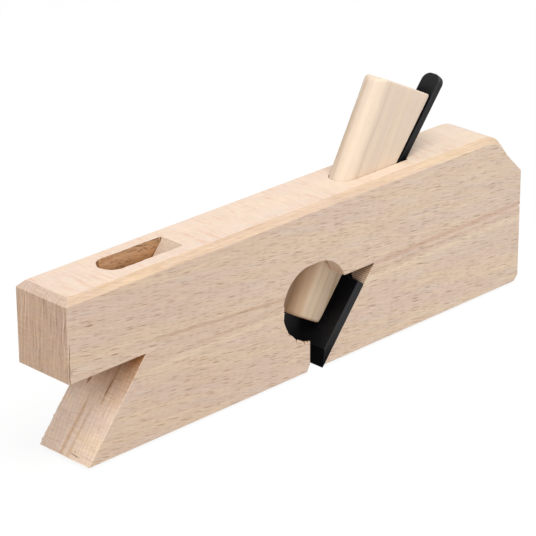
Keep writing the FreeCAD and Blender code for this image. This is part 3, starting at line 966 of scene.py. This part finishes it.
# The section carried up the front. Rows near an end are the section drawn in by the rounding's quarter circle, and
# the end itself is the last row shrunk to its middle over a low dome.
def wedgeSurface(values, grid):
    angle = math.radians(values["frontAngle"])
    up = np.array([math.cos(angle), 0.0, math.sin(angle)])
    back = np.array([math.sin(angle), 0.0, -math.cos(angle)])
    start = np.array([values["frontTop"][0], 0.0, values["frontTop"][1]])
    foot = (values["footHeight"] - values["frontTop"][1]) / math.sin(angle)
    high = values["standOut"]
    share, fixed, offset, side, outBack, outSide = wedgeSection(values, grid)

    # depth of the section where the back's line crosses it: linear along the front
    lean = math.radians(values["backAngle"])
    along = np.array([math.cos(lean), 0.0, math.sin(lean)])
    onBack = np.array([values["backFoot"][0], 0.0, values["backFoot"][1]]) - start
    slope = (along @ back) / (along @ up)
    depthAtZero = onBack @ back - (onBack @ up) * slope

    # rounding of the two ends, by which way each column faces
    facesFront = np.clip(-outBack, 0, 1) ** 1.5
    facesBack = np.clip(outBack, 0, 1) ** 2
    topRound = values["sideRounding"] + (values["frontRounding"] - values["sideRounding"]) * facesFront \
        + (values["backRounding"] - values["sideRounding"]) * facesBack
    footRound = values["footRounding"] + (values["backRounding"] - values["footRounding"]) * facesBack

    # the section at a height, drawn in by an inset against its outward direction
    def section(height, inset):
        reach = offset + share * (depthAtZero + height * slope - offset) + fixed
        return reach - outBack * inset, side - outSide * inset

    tilt = math.radians(values["topSlope"])
    topLine = np.array([math.cos(tilt), 0.0, -math.sin(tilt)])
    topRise = (topLine @ up) / (topLine @ back)

    # stretches from the foot's dome to the top's: height, depth and side of every point
    quarter = np.radians(np.linspace(0, 90, grid["rounding"]))[:, None]
    shrink = np.linspace(0.0, 1.0, grid["dome"])[:-1, None]
    middle = (depthAtZero + foot * slope) / 2
    w, y = section(foot, footRound)
    rows = [(foot - values["dome"] * (1 - shrink ** 2) * 0.5 + 0 * w, middle + (w - middle) * shrink, y * shrink)]
    w, y = section(foot, footRound * (1 - np.cos(quarter[::-1])))
    rows.append((foot + footRound * (1 - np.sin(quarter[::-1])), w, y))
    height = np.linspace(foot + grid["fromFoot"], high - grid["fromTop"], grid["length"])[:, None]
    w, y = section(height, 0.0)
    rows.append((height + 0 * w, w, y + 0 * w))
    w, y = section(high, topRound * (1 - np.cos(quarter)))
    rows.append((high + w * topRise - topRound * (1 - np.sin(quarter)), w, y))
    shrink = np.linspace(1.0, 0.0, grid["dome"])[1:, None]
    middle = (depthAtZero + high * slope) / 2
    w, y = section(high, topRound)
    w = middle + (w - middle) * shrink
    rows.append((high + w * topRise + values["dome"] * (1 - shrink ** 2), w, y * shrink))
    s, w, y = (np.concatenate(stretch) for stretch in zip(*rows))
    points = start + s[..., None] * up + w[..., None] * back
    points[..., 1] = y
    return points


# The wedge: its surface as a mesh, smooth except where it turns sharply.
def makeWedge():
    wedge = tube("wedgeBody", wedgeSurface(wedgeShape, wedgeGrid), doubles=mergeWithin)
    wedge.data.materials.append(hornbeam)
    wedge.data.shade_smooth()
    wedge.data.set_sharp_from_angle(angle=math.radians(wedgeShape["smoothAngle"]))
    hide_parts("wedge")
    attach(wedge, "wedge")


# The iron keeps its CAD shape and takes the black material in every slot.
def finishIron():
    for place in nodes["iron"].material_slots:
        place.material = blackIron


makeStock()
for edge in frays:
    fray(*edge)
print("stock made")
makeWedge()
print("wedge made")
finishIron()
print("iron finished")

roomLook = {
    "floorHeight": -1.32,  # just under the iron's edge
    "floorSize": 6000.0,
    "floorColour": tone(205, 205, 205),
    "whiteShare": 0.90,  # of the floor that shows as plain white; the rest keeps the shadow
    "worldStrength": 0.52,
}


# A share of 1 for camera, glossy and transmission rays and 0 for the light itself, times the most it may be.
def backdropShare(tree, most):
    path = put("LightPath", tree=tree).outputs
    seen = maths("ADD", path["Is Camera Ray"], plus(path["Is Glossy Ray"], path["Is Transmission Ray"]), True)
    return times(seen, most)


# A square floor: pale under the light, and mostly plain white where it is seen.
def makeFloor(values):
    half = values["floorSize"] / 2 * mm
    height = values["floorHeight"] * mm
    corners = [(-half, -half, height), (half, -half, height), (half, half, height), (-half, half, height)]
    mesh = bpy.data.meshes.new("floor")
    mesh.from_pydata(corners, [], [(0, 1, 2, 3)])
    floor = linkMesh("floor", mesh)
    material = bpy.data.materials.new("paleFloor")
    material.use_nodes = True
    tree = material.node_tree
    tree.nodes.clear()
    pale = put("BsdfDiffuse", {"Color": mix(backdropShare(tree, 1.0), values["floorColour"], white)})
    plain = put("Emission", {"Color": white, "Strength": 1.0}, tree)
    share = backdropShare(tree, values["whiteShare"])
    mixed = put("MixShader", {0: share, 1: pale.outputs[0], 2: plain.outputs[0]})
    put("OutputMaterial", {"Surface": mixed.outputs[0]})
    mesh.materials.append(material)


# Soft light from all sides, plain white where it is seen.
def makeWorld(values):
    world = bpy.data.worlds.new("studio")
    scene.world = world
    world.use_nodes = True
    tree = world.node_tree
    tree.nodes.clear()
    soft = put("Background", {"Color": white, "Strength": values["worldStrength"]}, tree)
    plain = put("Background", {"Color": white, "Strength": 1.0}, tree)
    mixed = put("MixShader", {0: backdropShare(tree, 1.0), 1: soft.outputs[0], 2: plain.outputs[0]})
    put("OutputWorld", {"Surface": mixed.outputs[0]})


# Places, aims and sizes in metres, power in watts.
softLights = [
    {"name": "overhead", "place": (0.02, -0.50, 1.30), "aim": (0.0, 0.0, 0.04), "size": 0.8, "power": 13.3},
    {"name": "toeFill", "place": (-2.10, -1.22, 0.92), "aim": (0.0, 0.0, 0.04), "size": 1.3, "power": 18.0},
]


# Square area lamps, each turned so that its -Z looks from its place at its aim.
def makeLights(lights):
    for values in lights:
        lamp = bpy.data.lights.new(values["name"], "AREA")
        lamp.size = values["size"]
        lamp.energy = values["power"]
        thing = bpy.data.objects.new(values["name"], lamp)
        scene.collection.objects.link(thing)
        thing.location = values["place"]
        thing.rotation_mode = "QUATERNION"
        thing.rotation_quaternion = (Vector(values["aim"]) - Vector(values["place"])).to_track_quat("-Z", "Y")


viewPoint = {
    "azimuth": -44.837,
    "elevation": 23.385,
    "roll": -0.268,
    "target": (13.724, 0.0, 40.0),
    "slide": (17.666, 1.328),  # picture centre from the target, right and up
    "distance": 1140.898,
    "lens": 179.565,
    "sensor": 36.0,
    "clip": (0.05, 20.0),  # in metres
}


# Back points from the object to the camera; right and up are square to it, turned by the roll.
def makeCamera(values):
    a, e, r = (math.radians(values[key]) for key in ("azimuth", "elevation", "roll"))
    back = Vector((math.sin(a) * math.cos(e), -math.cos(a) * math.cos(e), math.sin(e)))
    right = Vector((math.cos(a), math.sin(a), 0.0))
    up = back.cross(right)
    rolledRight = right * math.cos(r) + up * math.sin(r)
    rolledUp = up * math.cos(r) - right * math.sin(r)
    lens = bpy.data.cameras.new("camera")
    lens.sensor_width = values["sensor"]
    lens.lens = values["lens"]
    lens.clip_start, lens.clip_end = values["clip"]
    camera = bpy.data.objects.new("camera", lens)
    scene.collection.objects.link(camera)
    place = Vector(values["target"]) - rolledRight * values["slide"][0] - rolledUp * values["slide"][1] \
        + back * values["distance"]
    turn = Matrix((rolledRight, rolledUp, back)).transposed().to_4x4()
    camera.matrix_world = Matrix.Translation(place * mm) @ turn
    scene.camera = camera


makeFloor(roomLook)
makeWorld(roomLook)
makeLights(softLights)
makeCamera(viewPoint)
scene.view_settings.view_transform = "Standard"
print("room, lights and camera set")
